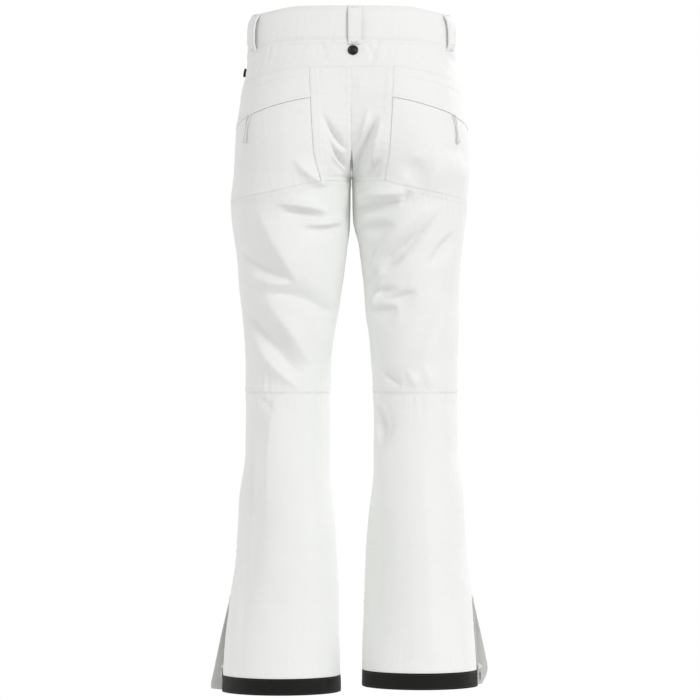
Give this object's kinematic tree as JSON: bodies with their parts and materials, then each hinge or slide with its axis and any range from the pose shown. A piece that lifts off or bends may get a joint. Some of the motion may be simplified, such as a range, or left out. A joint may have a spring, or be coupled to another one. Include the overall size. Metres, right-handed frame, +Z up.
{
  "type": "ski pants",
  "caption": "White insulated ski pants with belt loops, zipped back and hand pockets, thigh vents, articulated knees and boot-cut cuffs with gussets, gaiters and black hem guards.",
  "frame": {"origin": "centre of the waist opening, level with the top of the waistband at the centre back", "axes": "+Z up, +Y the way the wearer faces, +X the wearer's right; the pants hang as worn"},
  "size_m": [0.432, 0.2507, 1.0491],
  "materials": {
    "shell": "softshell twill, white",
    "lining": "warm grey lining cloth",
    "guard": "black abrasion cloth",
    "zip": "white zip tape and coil",
    "cord": "pale grey cord with a moulded end",
    "slider": "white lacquer",
    "snap": "black nickel"
  },
  "bodies": {
    "shell": {"back_pocket_panel_left": "shell", "back_pocket_panel_right": "shell", "back_pocket_welt_left": "shell", "back_pocket_welt_right": "shell", "back_pocket_zip_left": "zip", "back_pocket_zip_right": "zip", "back_thigh_left": "shell", "back_thigh_right": "shell", "back_yoke": "shell", "belt_loop_back_left": "shell", "belt_loop_back_right": "shell", "belt_loop_centre": "shell", "belt_loop_front_left": "shell", "belt_loop_front_right": "shell", "fly_placket": "shell", "fly_zip": "zip", "front_thigh_left": "shell", "front_thigh_right": "shell", "hand_pocket_zip_left": "zip", "hand_pocket_zip_right": "zip", "jacket_snap": "snap", "seat_panel_left": "shell", "seat_panel_right": "shell", "side_snap": "snap", "vent_zip_left": "zip", "vent_zip_right": "zip", "waist_stud": "snap", "waistband_back": "shell", "waistband_facing": "lining", "waistband_front_left": "shell", "waistband_front_right": "shell"},
    "shin_left": {"back_shin_left": "shell", "front_shin_left": "shell", "hem_guard_left": "guard", "cuff_gusset_left": "lining", "gaiter_left": "lining", "cuff_zip_left": "zip"},
    "cuff_slider_left": {"cuff_slider_left": "slider"},
    "cuff_pull_left": {"cuff_pull_left": "cord"},
    "vent_slider_left": {"vent_slider_left": "slider"},
    "back_pocket_slider_left": {"back_pocket_slider_left": "slider"},
    "back_pocket_pull_left": {"back_pocket_pull_left": "cord"},
    "hand_pocket_slider_left": {"hand_pocket_slider_left": "slider"},
    "hand_pocket_pull_left": {"hand_pocket_pull_left": "cord"},
    "shin_right": {"back_shin_right": "shell", "front_shin_right": "shell", "hem_guard_right": "guard", "cuff_gusset_right": "lining", "gaiter_right": "lining", "cuff_zip_right": "zip"},
    "cuff_slider_right": {"cuff_slider_right": "slider"},
    "cuff_pull_right": {"cuff_pull_right": "cord"},
    "vent_slider_right": {"vent_slider_right": "slider"},
    "back_pocket_slider_right": {"back_pocket_slider_right": "slider"},
    "back_pocket_pull_right": {"back_pocket_pull_right": "cord"},
    "hand_pocket_slider_right": {"hand_pocket_slider_right": "slider"},
    "hand_pocket_pull_right": {"hand_pocket_pull_right": "cord"},
    "fly_slider": {"fly_slider": "slider"},
    "waist_tab": {"waist_tab": "shell", "waist_snap": "snap"}
  },
  "joints": [
    {"name": "knee_left", "type": "hinge", "parent": "shell", "child": "shin_left", "pos_m": [-0.099, -0.085, -0.585], "axis": [-1, 0, 0], "range_deg": [0, 60]},
    {"name": "cuff_zip_travel_left", "type": "slide", "parent": "shin_left", "child": "cuff_slider_left", "axis": [0.0702, 0.1179, 0.9905], "range_m": [0, 0.07]},
    {"name": "cuff_pull_swing_left", "type": "hinge", "parent": "cuff_slider_left", "child": "cuff_pull_left", "pos_m": [-0.20086, -0.01119, -1.00913], "axis": [0, 1, 0], "range_deg": [0, 120]},
    {"name": "vent_zip_travel_left", "type": "slide", "parent": "shell", "child": "vent_slider_left", "axis": [-0.1191, 0.0021, -0.9929], "range_m": [0, 0.178]},
    {"name": "back_pocket_zip_travel_left", "type": "hinge", "parent": "shell", "child": "back_pocket_slider_left", "pos_m": [-0.06286, -0.01486, -0.15948], "axis": [-0.1532, 0.2197, 0.9635], "range_deg": [0, 45.5]},
    {"name": "back_pocket_pull_swing_left", "type": "hinge", "parent": "back_pocket_slider_left", "child": "back_pocket_pull_left", "pos_m": [-0.15764, -0.08334, -0.15893], "axis": [-0.5107, 0.8598, 0], "range_deg": [0, 120]},
    {"name": "hand_pocket_zip_travel_left", "type": "hinge", "parent": "shell", "child": "hand_pocket_slider_left", "pos_m": [0.1259, -0.30784, -0.20486], "axis": [-0.7863, -0.5389, 0.3023], "range_deg": [0, 12.1]},
    {"name": "hand_pocket_pull_swing_left", "type": "hinge", "parent": "hand_pocket_slider_left", "child": "hand_pocket_pull_left", "pos_m": [-0.10751, 0.09703, -0.09029], "axis": [0.8663, 0.4995, 0], "range_deg": [0, 120]},
    {"name": "knee_right", "type": "hinge", "parent": "shell", "child": "shin_right", "pos_m": [0.099, -0.085, -0.585], "axis": [-1, 0, 0], "range_deg": [0, 60]},
    {"name": "cuff_zip_travel_right", "type": "slide", "parent": "shin_right", "child": "cuff_slider_right", "axis": [-0.0702, 0.1179, 0.9905], "range_m": [0, 0.07]},
    {"name": "cuff_pull_swing_right", "type": "hinge", "parent": "cuff_slider_right", "child": "cuff_pull_right", "pos_m": [0.20086, -0.01119, -1.00913], "axis": [0, -1, 0], "range_deg": [0, 120]},
    {"name": "vent_zip_travel_right", "type": "slide", "parent": "shell", "child": "vent_slider_right", "axis": [0.1191, 0.0021, -0.9929], "range_m": [0, 0.178]},
    {"name": "back_pocket_zip_travel_right", "type": "hinge", "parent": "shell", "child": "back_pocket_slider_right", "pos_m": [0.06286, -0.01486, -0.15948], "axis": [-0.1532, -0.2197, -0.9635], "range_deg": [0, 45.5]},
    {"name": "back_pocket_pull_swing_right", "type": "hinge", "parent": "back_pocket_slider_right", "child": "back_pocket_pull_right", "pos_m": [0.15764, -0.08334, -0.15893], "axis": [-0.5107, -0.8598, 0], "range_deg": [0, 120]},
    {"name": "hand_pocket_zip_travel_right", "type": "hinge", "parent": "shell", "child": "hand_pocket_slider_right", "pos_m": [-0.1259, -0.30784, -0.20486], "axis": [-0.7863, 0.5389, -0.3023], "range_deg": [0, 12.1]},
    {"name": "hand_pocket_pull_swing_right", "type": "hinge", "parent": "hand_pocket_slider_right", "child": "hand_pocket_pull_right", "pos_m": [0.10751, 0.09703, -0.09029], "axis": [0.8663, -0.4995, 0], "range_deg": [0, 120]},
    {"name": "fly_zip_travel", "type": "hinge", "parent": "shell", "child": "fly_slider", "pos_m": [0.04744, -0.2719, -0.09576], "axis": [-0.9961, -0.0882, 0.0064], "range_deg": [0, 12.4]},
    {"name": "waist_tab_fold", "type": "hinge", "parent": "shell", "child": "waist_tab", "pos_m": [-0.00439, 0.10619, -0.02846], "axis": [0, 0, 1], "range_deg": [0, 95]}
  ]
}
